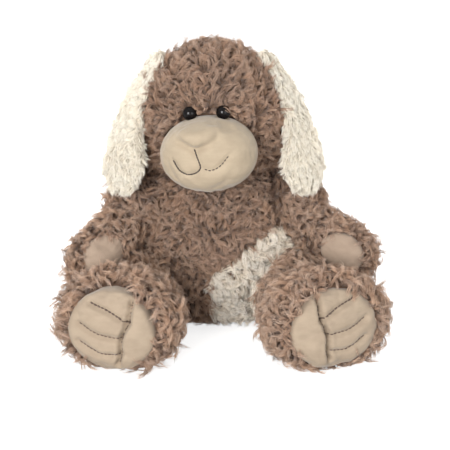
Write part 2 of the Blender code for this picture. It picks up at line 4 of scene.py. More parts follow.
import bmesh
import bpy
import numpy as np
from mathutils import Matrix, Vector
from mathutils.bvhtree import BVHTree
from mathutils.kdtree import KDTree


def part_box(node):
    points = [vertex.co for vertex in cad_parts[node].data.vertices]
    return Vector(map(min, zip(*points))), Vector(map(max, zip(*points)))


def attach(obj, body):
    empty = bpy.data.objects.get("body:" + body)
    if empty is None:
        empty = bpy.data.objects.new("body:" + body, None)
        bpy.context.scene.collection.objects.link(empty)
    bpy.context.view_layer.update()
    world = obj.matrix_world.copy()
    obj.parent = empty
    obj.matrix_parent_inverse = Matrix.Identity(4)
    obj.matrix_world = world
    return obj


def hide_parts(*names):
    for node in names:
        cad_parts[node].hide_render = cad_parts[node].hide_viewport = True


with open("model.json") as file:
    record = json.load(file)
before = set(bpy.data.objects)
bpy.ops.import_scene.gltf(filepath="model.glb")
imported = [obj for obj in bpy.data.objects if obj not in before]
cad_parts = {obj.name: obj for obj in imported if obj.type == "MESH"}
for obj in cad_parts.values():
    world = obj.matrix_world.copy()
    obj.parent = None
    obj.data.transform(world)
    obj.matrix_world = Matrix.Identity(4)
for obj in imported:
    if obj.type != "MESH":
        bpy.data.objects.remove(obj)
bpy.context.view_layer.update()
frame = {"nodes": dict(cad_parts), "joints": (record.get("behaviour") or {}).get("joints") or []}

NODES = frame["nodes"]
JOINTS = {j["name"]: j for j in frame["joints"]}
SCENE = bpy.context.scene
SIDES = {"left": 1.0, "right": -1.0}
UP = np.array([0.0, 0.0, 1.0])
MM = 0.001
TURN = 2 * math.pi
SEED = 71

FLOOR_CLEAR = 0.35 * MM  # fur that reaches the floor is pressed flat at this height
SKIN_INSET = 2.6 * MM  # the cloth backing lies this far under the half-pile CAD surface
VELOUR_VOXEL = 1.6 * MM
MOST_FACES = 170_000  # in one mesh of pile
STRAY_LEAN = 9  # degrees by which the roots of the locks differ

# Cloth simulation of the velour pieces
CLOTH_VOXEL = 4 * MM
CLOTH_FRAMES = 20
CLOTH = dict(quality=6, mass=0.15, tension_stiffness=12.0, compression_stiffness=12.0,
             shear_stiffness=8.0, bending_stiffness=0.6, use_pressure=True,
             uniform_pressure_force=4.0, shrink_min=-0.04, vertex_group_mass="held")
MOST_PUFF = 2.6 * MM
SEAM_HOLD = 3 * MM  # the cloth is held this close to a seam

# How far the soft outline stands out over the CAD forms
CHEEK, JOWL, TEMPLE = 7.0 * MM, 14.0 * MM, 7.0 * MM
WAIST, SHOULDER, TAIL_ROOT = 6.0 * MM, 16.0 * MM, 7.0 * MM
FOOT_RUFF, HIP, SOLE_BACKING = 7.5 * MM, 11.0 * MM, 8.0 * MM
UPPER_ARM, FOREARM = 14.0 * MM, 4.0 * MM
PATCH_REACH = 7.5 * MM  # the cream patch wins from its neighbours up to here
PATCH_ON_LEG = 13 * MM  # the leg's pile is cream this close to the patch
MUZZLE_DROP = 3.0 * MM
EYE_DOME, EYE_SUNK, EYE_SHANK = 5.2 * MM, 2.6 * MM, 1.75 * MM


def joint_pos(name):
    return np.array(JOINTS[name]["pos_m"], float)


def box_mid(name):
    low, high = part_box(name)
    return (np.array(list(low)) + np.array(list(high))) / 2


def unit(v):
    v = np.asarray(v, float)
    return v / np.maximum(np.linalg.norm(v, axis=-1, keepdims=True), 1e-12)


def smooth_step(value, low, high):
    t = np.clip((value - low) / (high - low), 0, 1)
    return t * t * (3 - 2 * t)


def rise(value, low, high):
    """From 0 at low to 1 at high, both in millimetres."""
    return smooth_step(value, low * MM, high * MM)


def fall(value, low, high):
    """From 1 at low to 0 at high, both in millimetres."""
    return smooth_step(-value, -high * MM, -low * MM)


def hump(value, width):
    """1 at zero, fading over the width."""
    return np.exp(-(value / width) ** 2)


def place(obj, body, slot, *nodes):
    """Fixes a piece to its body and hides the CAD it stands for; the slot is not used."""
    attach(obj, body)
    if nodes:
        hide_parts(*nodes)


# Materials


def new_material(name, roughness, specular, sheen=0.0, sheen_roughness=0.5):
    mat = bpy.data.materials.new(name)
    mat.use_nodes = True
    shader = mat.node_tree.nodes["Principled BSDF"]
    shader.inputs["Roughness"].default_value = roughness
    shader.inputs["Specular IOR Level"].default_value = specular
    shader.inputs["Sheen Weight"].default_value = sheen
    shader.inputs["Sheen Roughness"].default_value = sheen_roughness
    return mat, mat.node_tree, shader


def link(tree, a, b):
    tree.links.new(a, b)


def ramp(tree, fac, stops):
    node = tree.nodes.new("ShaderNodeValToRGB")
    elements = node.color_ramp.elements
    while len(elements) < len(stops):
        elements.new(0.5)
    for element, (pos, colour) in zip(elements, stops):
        element.position = pos
        element.color = (*colour, 1.0)
    link(tree, fac, node.inputs["Fac"])
    return node.outputs["Color"]


def mix(tree, kind, fac, a, b):
    node = tree.nodes.new("ShaderNodeMix")
    node.data_type = "RGBA"
    node.blend_type = kind
    for socket, value in ((node.inputs[0], fac), (node.inputs[6], a), (node.inputs[7], b)):
        if isinstance(value, float):
            socket.default_value = value
        elif isinstance(value, tuple):
            socket.default_value = (*value, 1.0)
        else:
            link(tree, value, socket)
    return node.outputs[2]


def noise(tree, scale, detail=2.0, stretch=None, rough=0.5):
    coord = tree.nodes.new("ShaderNodeTexCoord").outputs["Object"]
    node = tree.nodes.new("ShaderNodeTexNoise")
    node.inputs["Scale"].default_value = scale
    node.inputs["Detail"].default_value = detail
    node.inputs["Roughness"].default_value = rough
    if stretch:
        mapping = tree.nodes.new("ShaderNodeMapping")
        mapping.inputs["Scale"].default_value = stretch
        link(tree, coord, mapping.inputs["Vector"])
        coord = mapping.outputs["Vector"]
    link(tree, coord, node.inputs["Vector"])
    return node.outputs["Fac"]


def attribute(tree, name):
    node = tree.nodes.new("ShaderNodeAttribute")
    node.attribute_name = name
    return node.outputs["Fac"]


def add_bump(tree, shader, height, strength, distance):
    node = tree.nodes.new("ShaderNodeBump")
    node.inputs["Strength"].default_value = strength
    node.inputs["Distance"].default_value = distance
    link(tree, height, node.inputs["Height"])
    link(tree, node.outputs["Normal"], shader.inputs["Normal"])


def fur_material(name, root, mid, tip, warm, dark):
    """Pile: dark at the root, light at the tip, each lock with its own tone and warmth."""
    mat, tree, shader = new_material(name, 0.72, 0.25, sheen=0.25)
    # The tip attribute also carries painted crease shade, which holds locks in creases near the
    # root colour
    along = ramp(tree, attribute(tree, "tip"), [(0.0, root), (0.45, mid), (1.0, tip)])
    darker = mix(tree, "MULTIPLY", 1.0, along, dark)
    toned = mix(tree, "MIX", attribute(tree, "tone"), darker, along)
    patchy = ramp(tree, noise(tree, 38.0, 3.0), [(0.35, warm), (0.65, (1.0, 1.0, 1.0))])
    link(tree, mix(tree, "MULTIPLY", 1.0, toned, patchy), shader.inputs["Base Color"])
    return mat


def mottled_material(name, colour, light, edge, scale, roughness, specular):
    """A plain colour with small lighter spots."""
    mat, tree, shader = new_material(name, roughness, specular)
    shade = ramp(tree, noise(tree, scale), [(edge, colour), (0.7, light)])
    link(tree, shade, shader.inputs["Base Color"])
    return mat


def backing_material(name, colour):
    return mottled_material(name, tuple(c * 0.7 for c in colour), colour, 0.3, 900.0, 0.95, 0.1)


def gloss_material(name, colour, roughness):
    light = tuple(c * 1.5 for c in colour)
    return mottled_material(name, colour, light, 0.4, 300.0, roughness, 0.2)


def velour_material(name, base, shadow):
    """Short cut pile: fine grain, soft nap streaks and a sheen at grazing angles."""
    mat, tree, shader = new_material(name, 0.85, 0.2, sheen=0.3, sheen_roughness=0.4)
    grain = noise(tree, 2600.0)
    nap = noise(tree, 60.0, 4.0, stretch=(1.0, 1.0, 2.2), rough=0.6)
    fine = mix(tree, "MIX", 0.5, ramp(tree, grain, [(0.3, shadow), (0.7, base)]), base)
    light = tuple(min(1.0, c * 1.06) for c in base)
    shade = mix(tree, "MIX", 0.45, fine, ramp(tree, nap, [(0.38, shadow), (0.62, light)]))
    link(tree, shade, shader.inputs["Base Color"])
    add_bump(tree, shader, noise(tree, 1500.0, 3.0), 0.35, 0.4 * MM)
    return mat


def thread_material(name, colour):
    """Twisted yarn: fine bands of light and shade."""
    mat, tree, shader = new_material(name, 0.6, 0.5)
    wave = tree.nodes.new("ShaderNodeTexWave")
    wave.inputs["Scale"].default_value = 900.0
    wave.inputs["Distortion"].default_value = 2.0
    coord = tree.nodes.new("ShaderNodeTexCoord")
    link(tree, coord.outputs["Object"], wave.inputs["Vector"])
    light = tuple(c * 1.9 + 0.01 for c in colour)
    shade = ramp(tree, wave.outputs["Fac"], [(0.2, colour), (0.9, light)])
    link(tree, shade, shader.inputs["Base Color"])
    add_bump(tree, shader, wave.outputs["Fac"], 0.4, 0.2 * MM)
    return mat


WARM, BROWN_DARK = (1.0, 0.95, 0.90), (0.66, 0.61, 0.58)
CREAM_WARM = (0.99, 0.97, 0.94)
MAT = {
    "brown": fur_material("pile_brown", (0.105, 0.058, 0.038), (0.430, 0.276, 0.186),
                          (0.720, 0.520, 0.392), WARM, BROWN_DARK),
    "limb": fur_material("pile_limb", (0.115, 0.065, 0.044), (0.485, 0.318, 0.218),
                         (0.780, 0.585, 0.452), WARM, BROWN_DARK),
    "cream": fur_material("pile_cream", (0.800, 0.700, 0.570), (0.960, 0.890, 0.780),
                          (0.990, 0.955, 0.885), CREAM_WARM, (0.96, 0.93, 0.90)),
    "ear": fur_material("pile_ear", (0.800, 0.735, 0.620), (0.930, 0.885, 0.780),
                        (0.960, 0.930, 0.855), CREAM_WARM, (0.96, 0.94, 0.91)),
    "brown_back": backing_material("backing_brown", (0.170, 0.108, 0.076)),
    "cream_back": backing_material("backing_cream", (0.700, 0.615, 0.500)),
    "beige": velour_material("velour_beige", (0.410, 0.332, 0.238), (0.350, 0.280, 0.198)),
    "sole": velour_material("velour_sole", (0.360, 0.284, 0.208), (0.300, 0.232, 0.168)),
    "paw": velour_material("velour_paw", (0.375, 0.284, 0.214), (0.310, 0.230, 0.172)),
    "dark_thread": thread_material("thread_dark", (0.030, 0.022, 0.018)),
    "brown_thread": thread_material("thread_brown", (0.062, 0.040, 0.030)),
    "eye": gloss_material("eye_black", (0.006, 0.005, 0.005), 0.06),
    "washer": gloss_material("washer_white", (0.550, 0.550, 0.530), 0.4),
}


# Meshes


def add_mesh(name, mesh, material):
    obj = bpy.data.objects.new(name, mesh)
    SCENE.collection.objects.link(obj)
    mesh.materials.clear()
    mesh.materials.append(MAT[material])
    return obj


def mesh_from_arrays(name, points, tris):
    mesh = bpy.data.meshes.new(name)
    mesh.vertices.add(len(points))
    mesh.vertices.foreach_set("co", np.ascontiguousarray(points, np.float32).ravel())
    mesh.loops.add(len(tris) * 3)
    mesh.loops.foreach_set("vertex_index", np.ascontiguousarray(tris, np.int32).ravel())
    mesh.polygons.add(len(tris))
    mesh.polygons.foreach_set("loop_start", np.arange(len(tris), dtype=np.int32) * 3)
    mesh.update(calc_edges=True)
    mesh.shade_smooth()
    return mesh


def edited(mesh, edit):
    """Opens the mesh for one edit, a function of its bmesh."""
    bm = bmesh.new()
    bm.from_mesh(mesh)
    edit(bm)
    bm.to_mesh(mesh)
    bm.free()


def applied(obj):
    """Applies every modifier of obj."""
    graph = bpy.context.evaluated_depsgraph_get()
    mesh = bpy.data.meshes.new_from_object(obj.evaluated_get(graph))
    obj.modifiers.clear()
    old = obj.data
    obj.data = mesh
    bpy.data.meshes.remove(old)


def add_remesh(obj, voxel):
    remesh = obj.modifiers.new("remesh", "REMESH")
    remesh.mode = "VOXEL"
    remesh.voxel_size = voxel


def union_skin(name, nodes, voxel, rounds, inset=0.0, material="brown_back"):
    """One closed, smoothed surface around these CAD solids, moved inwards by inset."""
    bm = bmesh.new()
    for node in nodes:
        bm.from_mesh(NODES[node].data)
    mesh = bpy.data.meshes.new(name)
    bm.to_mesh(mesh)
    bm.free()
    obj = add_mesh(name, mesh, material)
    add_remesh(obj, voxel)
    soften = obj.modifiers.new("soften", "SMOOTH")
    soften.factor = 0.5
    soften.iterations = rounds
    applied(obj)
    keep_largest(obj.data)
    if inset:
        set_coords(obj.data, coords(obj.data) - normals(obj.data) * inset)
    obj.data.shade_smooth()
    return obj


def shell_from(start, left):
    """Takes from left every vertex joined to start, and returns them."""
    stack, shell = [start], []
    while stack:
        vert = stack.pop()
        shell.append(vert)
        for edge in vert.link_edges:
            other = edge.other_vert(vert)
            if other in left:
                left.remove(other)
                stack.append(other)
    return shell


def drop_small_shells(bm):
    left, shells = set(bm.verts), []
    while left:
        shells.append(shell_from(left.pop(), left))
    shells.sort(key=len)
    for shell in shells[:-1]:
        bmesh.ops.delete(bm, geom=shell, context="VERTS")


def keep_largest(mesh):
    edited(mesh, drop_small_shells)


def cut_away(obj, is_gone):
    """Removes the vertices that is_gone names, and closes the hole."""
    def cut(bm):
        gone = [v for v in bm.verts if is_gone(v.co)]
        bmesh.ops.delete(bm, geom=gone, context="VERTS")
        bmesh.ops.holes_fill(bm, edges=[e for e in bm.edges if e.is_boundary])
    edited(obj.data, cut)


def outward(bm):
    """Joins doubled vertices and turns every face outwards."""
    bmesh.ops.remove_doubles(bm, verts=bm.verts, dist=1e-7)
    bmesh.ops.recalc_face_normals(bm, faces=bm.faces)


def vertex_values(mesh, name):
    values = np.empty(len(mesh.vertices) * 3, np.float32)
    mesh.vertices.foreach_get(name, values)
    return values.reshape(-1, 3).astype(float)


def coords(mesh):
    return vertex_values(mesh, "co")


def normals(mesh):
    return vertex_values(mesh, "normal")


def set_coords(mesh, co):
    mesh.vertices.foreach_set("co", np.ascontiguousarray(co, np.float32).ravel())
    mesh.update()


def triangles(mesh):
    mesh.calc_loop_triangles()
    tris = np.empty(len(mesh.loop_triangles) * 3, np.int32)
    mesh.loop_triangles.foreach_get("vertices", tris)
    return tris.reshape(-1, 3)


def tree_of(mesh):
    return BVHTree.FromPolygons(coords(mesh).tolist(), triangles(mesh).tolist())


def node_tree(name):
    return tree_of(NODES[name].data)


def distances(tree, points, reach=1.0):
    """Distance of every point to the surface, reach where it is farther."""
    return np.array([tree.find_nearest(p, reach)[3] or reach for p in points.tolist()])


# Roots of the pile


def scatter(mesh, spacing, rng):
    """Points spread over the mesh, no two closer than about the spacing, with their normals."""
    co, no, tris = coords(mesh), normals(mesh), triangles(mesh)
    a, b, c = (co[tris[:, i]] for i in range(3))
    area = np.linalg.norm(np.cross(b - a, c - a), axis=1) / 2
    count = int(3.2 * area.sum() / spacing ** 2)
    pick = rng.choice(len(tris), count, p=area / area.sum())
    r1, r2 = np.sqrt(rng.random(count)), rng.random(count)
    weights = np.stack([1 - r1, r1 * (1 - r2), r1 * r2], 1)
    points = (co[tris[pick]] * weights[:, :, None]).sum(1)
    normal = unit((no[tris[pick]] * weights[:, :, None]).sum(1))
    cell = np.floor(points / spacing).astype(int)
    taken, chosen = {}, []
    limit = (spacing * 0.8) ** 2
    steps = [(i, j, k) for i in (-1, 0, 1) for j in (-1, 0, 1) for k in (-1, 0, 1)]
    for index, (spot, key) in enumerate(zip(points.tolist(), cell.tolist())):
        around = (other for i, j, k in steps
                  for other in taken.get((key[0] + i, key[1] + j, key[2] + k), ()))
        if all(sum((p - q) ** 2 for p, q in zip(spot, other)) >= limit for other in around):
            taken.setdefault(tuple(key), []).append(spot)
            chosen.append(index)
    return points[chosen], normal[chosen]


def is_clear(tree, box, points, margin):
    """True for the points that lie outside the closed surface by more than the margin."""
    clear = np.ones(len(points), bool)
    close = ((points > box[0] - 3 * MM) & (points < box[1] + 3 * MM)).all(1)
    for index in np.nonzero(close)[0]:
        point = Vector(points[index].tolist())
        spot, normal, _, distance = tree.find_nearest(point, 12 * MM)
        if spot is not None:
            clear[index] = (point - spot).dot(normal) > 0 and distance > margin
    return clear


def nearest_node(points, names, favour):
    """Index in names of the CAD node nearest to each point; a favoured node reaches further."""
    found = [distances(node_tree(name), points) - favour.get(name, 0.0) for name in names]
    return np.argmin(np.array(found), axis=0)


def turned(vectors, axes, angles):
    """Each vector turned about its own axis by its own angle."""
    c, s = np.cos(angles)[:, None], np.sin(angles)[:, None]
    return (vectors * c + np.cross(axes, vectors) * s
            + axes * (axes * vectors).sum(1, keepdims=True) * (1 - c))


def swirl_noise(points, scale, rng):
    """A smooth field between about -1 and 1."""
    total = np.zeros(len(points))
    for _ in range(6):
        wave = unit(rng.normal(size=3)) * (TURN / scale) * rng.uniform(0.6, 1.7)
        total += np.sin(points @ wave + rng.uniform(0, TURN))
    return total / 2.4


def flow_along(normal, aim):
    """The part of aim that lies in the surface."""
    return unit(aim - normal * (aim * normal).sum(1, keepdims=True))


# Each kind of pile, in millimetres and degrees. A lock has a length, a lean at its root, a curl
# and a twist, each with its spread, and a radius; "spread" is how far it strays from the combing
# and "swirl" how far the combing wanders. hair is the radius of a strand, frizz and wave how far
# it strays, and gather how much the lock narrows at its tip.
PILE = {
    "curly": dict(length=15.0, vary=2.0, lean=22, curl=130, curl_vary=35, twist=80, lock=1.55,
                  hair=0.25, spread=60, swirl=1.5, strands=9, rings=6, spacing=2.75,
                  frizz=1.5, wave=0.9, gather=0.35),
    "head": dict(length=14.5, vary=2.0, lean=32, curl=100, curl_vary=32, twist=60, lock=1.5,
                 hair=0.24, spread=34, swirl=0.75, strands=9, rings=6, spacing=2.7,
                 frizz=1.4, wave=0.8, gather=0.35),
    "cream": dict(length=12.0, vary=1.6, lean=38, curl=80, curl_vary=28, twist=60, lock=2.2,
                  hair=0.33, spread=40, swirl=0.8, strands=11, rings=5, spacing=2.75,
                  frizz=1.4, wave=0.6, gather=0.15),
    "ear": dict(length=8.0, vary=0.8, lean=62, curl=32, curl_vary=12, twist=24, lock=2.2,
                hair=0.34, spread=26, swirl=0.35, strands=11, rings=5, spacing=2.5,
                frizz=0.8, wave=0.35, gather=0.05),
}


def lock_curls(normal, flow, style, t, scale, rng):
    """The centre line of every lock from its root, its heading, its side and its twist."""
    locks, rings = len(normal), len(t)
    length = style["length"] + rng.normal(0, style["vary"], locks)
    length = length.clip(style["length"] * 0.5) * MM * scale
    lean = np.radians(style["lean"] + rng.normal(0, STRAY_LEAN, locks))
    curl = np.radians(style["curl"] + rng.normal(0, style["curl_vary"], locks))
    twist = np.radians(rng.normal(0, style["twist"], locks))
    tangent = turned(flow, normal, np.radians(rng.normal(0, style["spread"], locks)))
    side = np.cross(normal, tangent)
    path = np.zeros((locks, rings, 3))
    heads = np.zeros((locks, rings, 3))
    for k in range(rings):
        bend = lean + curl * t[k]
        swing = twist * t[k]
        ahead = tangent * np.cos(swing)[:, None] + side * np.sin(swing)[:, None]
        heads[:, k] = normal * np.cos(bend)[:, None] + ahead * np.sin(bend)[:, None]
        if k:
            step = (heads[:, k] + heads[:, k - 1]) / 2 * (t[k] - t[k - 1])
            path[:, k] = path[:, k - 1] + step * length[:, None]
    return path, heads, side, twist


def strand_lines(points, path, across, beside, twist, style, t, rng):
    """The centre lines of all strands: round their lock's curl, wavy, drawn in at the tip."""
    locks, strands = len(points), style["strands"]
    angle = rng.uniform(0, TURN, (locks, strands))
    angle = angle[:, :1] * 0.15 + np.arange(strands) * TURN / strands + angle * 0.12
    away = np.sqrt(rng.uniform(0.25, 1.0, (locks, strands))) * style["lock"] * MM
    away[:, 0] *= 0.25
    reach = rng.uniform(0.82, 1.08, (locks, strands))
    turn = angle[:, :, None] + (twist[:, None, None] * 1.2 + 0.9) * t
    shift = away[:, :, None] * (1.0 - style["gather"] * t ** 1.3)
    centre = path[:, None] * (1 + (reach - 1)[:, :, None, None] * t[:, None])
    centre = centre + points[:, None, None]
    centre = (centre + across[:, None] * (np.cos(turn) * shift)[..., None]
              + beside[:, None] * (np.sin(turn) * shift)[..., None])
    wave = rng.uniform(0, TURN, (locks, 1)) + TURN * 1.1 * t
    size = style["wave"] * MM * np.sqrt(t)
    centre = centre + (across * (np.cos(wave) * size)[..., None]
                       + beside * (np.sin(wave) * size)[..., None])[:, None]
    stray = rng.normal(size=(locks, strands, 1, 3)) * style["frizz"] * MM * 0.6
    return centre + stray * (t ** 1.6)[:, None]


def strand_faces(rings):
    """The triangles of one three-sided strand whose last ring is its tip."""
    tip = (rings - 1) * 3
    faces = []
    for first in range(0, tip, 3):
        for s in range(3):
            a, b = first + s, first + (s + 1) % 3
            if first + 3 == tip:
                faces.append((a, b, tip))
            else:
                faces += [(a, b, b + 3), (a, b + 3, a + 3)]
    return np.array(faces)


def grow(name, points, normal, flow, style, material, rng, scale, light):
    """Locks of pile as a mesh: every lock is a bundle of tapered strands round one curl."""
    rings, strands = style["rings"], style["strands"]
    t = np.linspace(0.0, 1.0, rings)
    path, heads, side, twist = lock_curls(normal, flow, style, t, scale, rng)
    across = unit(np.cross(heads, side[:, None]))
    beside = unit(np.cross(heads, across))
    centre = strand_lines(points, path, across, beside, twist, style, t, rng)
    radius = style["hair"] * MM * (1.0 - 0.55 * t[:-1] ** 2)
    corner = np.arange(3) * TURN / 3
    spokes = (across[:, None, :-1, None] * np.cos(corner)[:, None]
              + beside[:, None, :-1, None] * np.sin(corner)[:, None])
    tubes = centre[:, :, :-1, None] + spokes * radius[:, None, None]
    count = len(points) * strands
    tips = centre[:, :, -1].reshape(count, 1, 3)
    co = np.concatenate([tubes.reshape(count, -1, 3), tips], axis=1)
    per = co.shape[1]
    faces = strand_faces(rings)
    tris = (faces[None] + (np.arange(count) * per)[:, None, None]).reshape(-1, 3)
    co = co.reshape(-1, 3)
    low = co[:, 2] < FLOOR_CLEAR
    co[low, 2] = FLOOR_CLEAR + (np.arange(low.sum()) % 5) * 0.05 * MM
    mesh = mesh_from_arrays(name, co, tris)
    tip = np.concatenate([np.repeat(t[:-1], 3), [1.0]])
    tone = rng.uniform(0.0, 1.0, (len(points), 1)) * 0.6
    tone = tone + rng.uniform(0.0, 1.0, (len(points), strands)) * 0.4
    # The tip value is multiplied by light, the painted crease shade, so locks deep in creases
    # keep nearly their root colour
    put_attribute(mesh, "tip", np.tile(tip, count) * np.repeat(light, strands * per))
    put_attribute(mesh, "tone", np.repeat(tone.ravel(), per))
    bake_cells(mesh, count, faces, tip)
    return add_mesh(name, mesh, material)


def put_attribute(mesh, name, values):
    layer = mesh.attributes.new(name, "FLOAT", "POINT")
    layer.data.foreach_set("value", np.ascontiguousarray(values, np.float32))


def bake_cells(mesh, count, faces, tip):
    """Texture cells: each strand gets its own small cell, across by side and up by height."""
    side = math.ceil(math.sqrt(count))
    across = np.concatenate([np.tile([0.2, 0.5, 0.8], (len(tip) - 1) // 3), [0.5]])
    local = np.stack([across, 0.12 + 0.76 * tip], 1)[faces.reshape(-1)]
    cell = np.stack([np.arange(count) % side, np.arange(count) // side], 1).astype(float)
    uv = (cell[:, None, :] + local[None]) / side
    layer = mesh.uv_layers.new(name="OFBake")
    layer.data.foreach_set("uv", np.ascontiguousarray(uv, np.float32).ravel())


# Backing skins of every body

# Each body's skin: the CAD solids under it, the voxel, the rounds of smoothing, the inset
SKINS = {
    "torso": (["torso_front_panel", "torso_back_panel", "hip_patch", "seat_panel",
               "torso_stuffing"], 3.2 * MM, 6, SKIN_INSET),
    "head": (["crown_panel", "head_left_panel", "head_right_panel", "head_stuffing"],
             3.2 * MM, 6, SKIN_INSET),
    "neck": (["neck_stuffing"], 2.8 * MM, 4, 0.3 * MM),
    "tail": (["tail_sleeve", "tail_stuffing"], 2.2 * MM, 4, 2 * MM),
}
for each in SIDES:
    SKINS[f"arm_{each}"] = ([f"arm_{each}_sleeve", f"paw_pad_{each}", f"arm_{each}_stuffing"],
                            2.8 * MM, 6, SKIN_INSET)
    SKINS[f"leg_{each}"] = ([f"leg_{each}_sleeve", f"sole_pad_{each}", f"leg_{each}_stuffing"],
                            3.2 * MM, 6, SKIN_INSET)
    SKINS[f"ear_{each}"] = ([f"ear_{each}_outer", f"ear_{each}_lining"], 2.2 * MM, 5, 1.6 * MM)


def build_skins():
    """The backing of every body; it also stands for the filling inside."""
    skins = {}
    for body, (nodes, voxel, rounds, inset) in SKINS.items():
        back = "cream_back" if body.startswith("ear") else "brown_back"
        skins[body] = union_skin(f"backing_{body}", nodes, voxel, rounds, inset, back)
    reshape(skins["head"], fuller_head)
    reshape(skins["torso"], fuller_torso)
    for side in SIDES:
        reshape(skins[f"ear_{side}"], slimmer_ear, side)
        reshape(skins[f"leg_{side}"], fuller_leg, side)
        reshape(skins[f"arm_{side}"], fuller_arm, side)
    for body, skin in skins.items():
        filled = [node for node in SKINS[body][0] if node.endswith("stuffing")]
        if body == "head":
            filled.append("muzzle_stuffing")
        place(skin, body, "cream_plush" if body.startswith("ear") else "brown_plush", *filled)
    return skins


def reshape(skin, change, *side):
    """Gives the skin the points that change makes of its points and normals."""
    set_coords(skin.data, change(coords(skin.data), normals(skin.data), *side))


def fuller_head(co, no):
    """Cheeks, jowls that close the gap to the ears, and temples."""
    mid = box_mid("head_stuffing")
    wide = np.abs(no[:, 0]) ** 0.7
    low = rise(mid[2] + 12 * MM - co[:, 2], 0, 40)
    back = rise(co[:, 1] - mid[1], -38, -15)
    co += no * (CHEEK * low * wide * back)[:, None]
    jowl = rise(mid[2] - 14 * MM - co[:, 2], 0, 22) * rise(co[:, 1] - mid[1], -26, 0)
    co[:, 0] += np.sign(co[:, 0]) * JOWL * jowl * rise(np.abs(co[:, 0]), 12, 32)
    up = co[:, 2] - mid[2]
    temple = rise(up, -30, 0) * fall(up, 26, 46) * rise(co[:, 1] - mid[1], -42, -22)
    return co + no * (TEMPLE * temple * wide)[:, None]


def fuller_torso(co, no):
    """A waist, shoulders behind the neck, the hip under the patch and the root of the tail."""
    waist = rise(co[:, 2], 35, 60) * fall(co[:, 2], 92, 118)
    co += no * (WAIST * waist * np.abs(no[:, 0]) ** 0.6)[:, None]
    high = rise(co[:, 2], 104, 124) * rise(np.abs(co[:, 0]), 14, 32) * rise(co[:, 1], -26, -8)
    co += no * (SHOULDER * high)[:, None]
    co[:, 0] += 5 * MM * rise(co[:, 0], 40, 56) * rise(co[:, 2], 45, 62) * fall(co[:, 2], 70, 92)
    co[:, 1] += 9 * MM * fall(co[:, 2], 0, 16) * fall(co[:, 1], -40, -10)
    tail = np.linalg.norm(co - joint_pos("tail_wag"), axis=1)
    return co + no * (TAIL_ROOT * hump(tail, 17 * MM))[:, None]


def slimmer_ear(co, no, side):
    """Narrower than the CAD ear, most of all on the inner side of its upper half."""
    sign, slabs = SIDES[side], 13
    levels = np.linspace(co[:, 2].min(), co[:, 2].max(), slabs + 1)
    slab = np.clip(np.searchsorted(levels, co[:, 2]) - 1, 0, slabs - 1)
    across = [co[slab == i, 0] for i in range(slabs)]
    mids = [(x.min() + x.max()) / 2 for x in across]
    middle = np.interp(co[:, 2], (levels[1:] + levels[:-1]) / 2, mids)
    aside = (co[:, 0] - middle) * sign
    upper = rise(co[:, 2], 140, 195)
    narrow = np.where(aside < 0, 0.88 - 0.45 * upper, 0.88)
    high = rise(co[:, 2], 196, 240)
    co[:, 0] = middle + sign * (aside * narrow - 7 * MM * high)
    co[:, 1] += 7 * MM * upper
    co[:, 2] += 9 * MM * high
    return co


def fuller_leg(co, no, side):
    """A ruff round the sole, a hollow for it, and a hip that meets the arm."""
    sign = SIDES[side]
    sole = box_mid(f"sole_pad_{side}")
    axis = unit(sole - joint_pos(f"leg_{side}_lift"))
    behind = (sole - co) @ axis
    outer = 0.55 + 0.45 * np.clip(no[:, 0] * sign, -0.4, 1)
    co += no * (FOOT_RUFF * rise(behind, 2, 14) * fall(behind, 25, 60) * outer)[:, None]
    flat = smooth_step(no @ axis, 0.5, 0.85) * fall(behind, 10, 22)
    co -= axis * (SOLE_BACKING * flat)[:, None]
    hip = rise(behind, 70, 92) * np.clip(no[:, 2] + 0.3, 0, 1) * rise(co[:, 0] * sign, 50, 66)
    co += no * (HIP * hip)[:, None]
    co[:, 2] = np.maximum(co[:, 2], 1.2 * MM)
    return co


def fuller_arm(co, no, side):
    """A soft forearm and a shoulder that meets the body."""
    root = joint_pos(f"arm_{side}_swing")
    along = (co - root) @ unit(box_mid(f"paw_pad_{side}") - root)
    under = np.clip(0.3 - no[:, 2], 0, 1)
    co += no * (FOREARM * rise(along, 30, 55) * under)[:, None]
    return co + no * (UPPER_ARM * fall(along, 8, 26) * np.clip(no[:, 2], 0, 1))[:, None]


# The pile itself


def limb_axis(body):
    """The pad at a limb's end, and the way from the limb's joint to it."""
    kind, side = body.split("_")
    if kind == "leg":
        pad, joint = box_mid(f"sole_pad_{side}"), joint_pos(f"leg_{side}_lift")
    else:
        pad, joint = box_mid(f"paw_pad_{side}"), joint_pos(f"arm_{side}_swing")
    return pad, unit(pad - joint)


def flow_of(body, points, normal):
    """The way the pile is combed on each body."""
    down = np.tile(-UP, (len(points), 1))
    if body == "head":
        return flow_along(normal, points - box_mid("muzzle_panel"))
    if body.startswith("leg"):
        sole, axis = limb_axis(body)
        rel = points - sole
        out = unit(rel - axis * (rel @ axis)[:, None])
        near = np.clip(1.0 - np.abs(rel @ axis) / (30 * MM), 0, 1)[:, None]
        aim = out * (0.35 + 0.9 * near) + axis * (0.5 - 0.35 * near) + down * 0.25
        under = np.clip(-out[:, 2:3] * 2 - 0.9, 0, 1) * near
        return flow_along(normal, aim * (1 - under) + axis * under)
    if body.startswith("arm"):
        return flow_along(normal, down * 0.7 + limb_axis(body)[1] * 0.8)
    if body == "tail":
        axis = unit(box_mid("tail_sleeve") - joint_pos("tail_wag"))
        return flow_along(normal, np.tile(axis, (len(points), 1)))
    return flow_along(normal, down + np.array([0.0, -0.05, 0.0]))


# The panels of every body that pile may stand on
PANELS = {body: [node for node in skin[0] if not node.endswith("stuffing")]
          for body, skin in SKINS.items()}
PANELS["head"] += ["muzzle_panel", "chin_panel"]
PANELS["neck"] = ["neck_stuffing"]
BALD = ("muzzle", "chin", "paw_pad", "sole_pad")
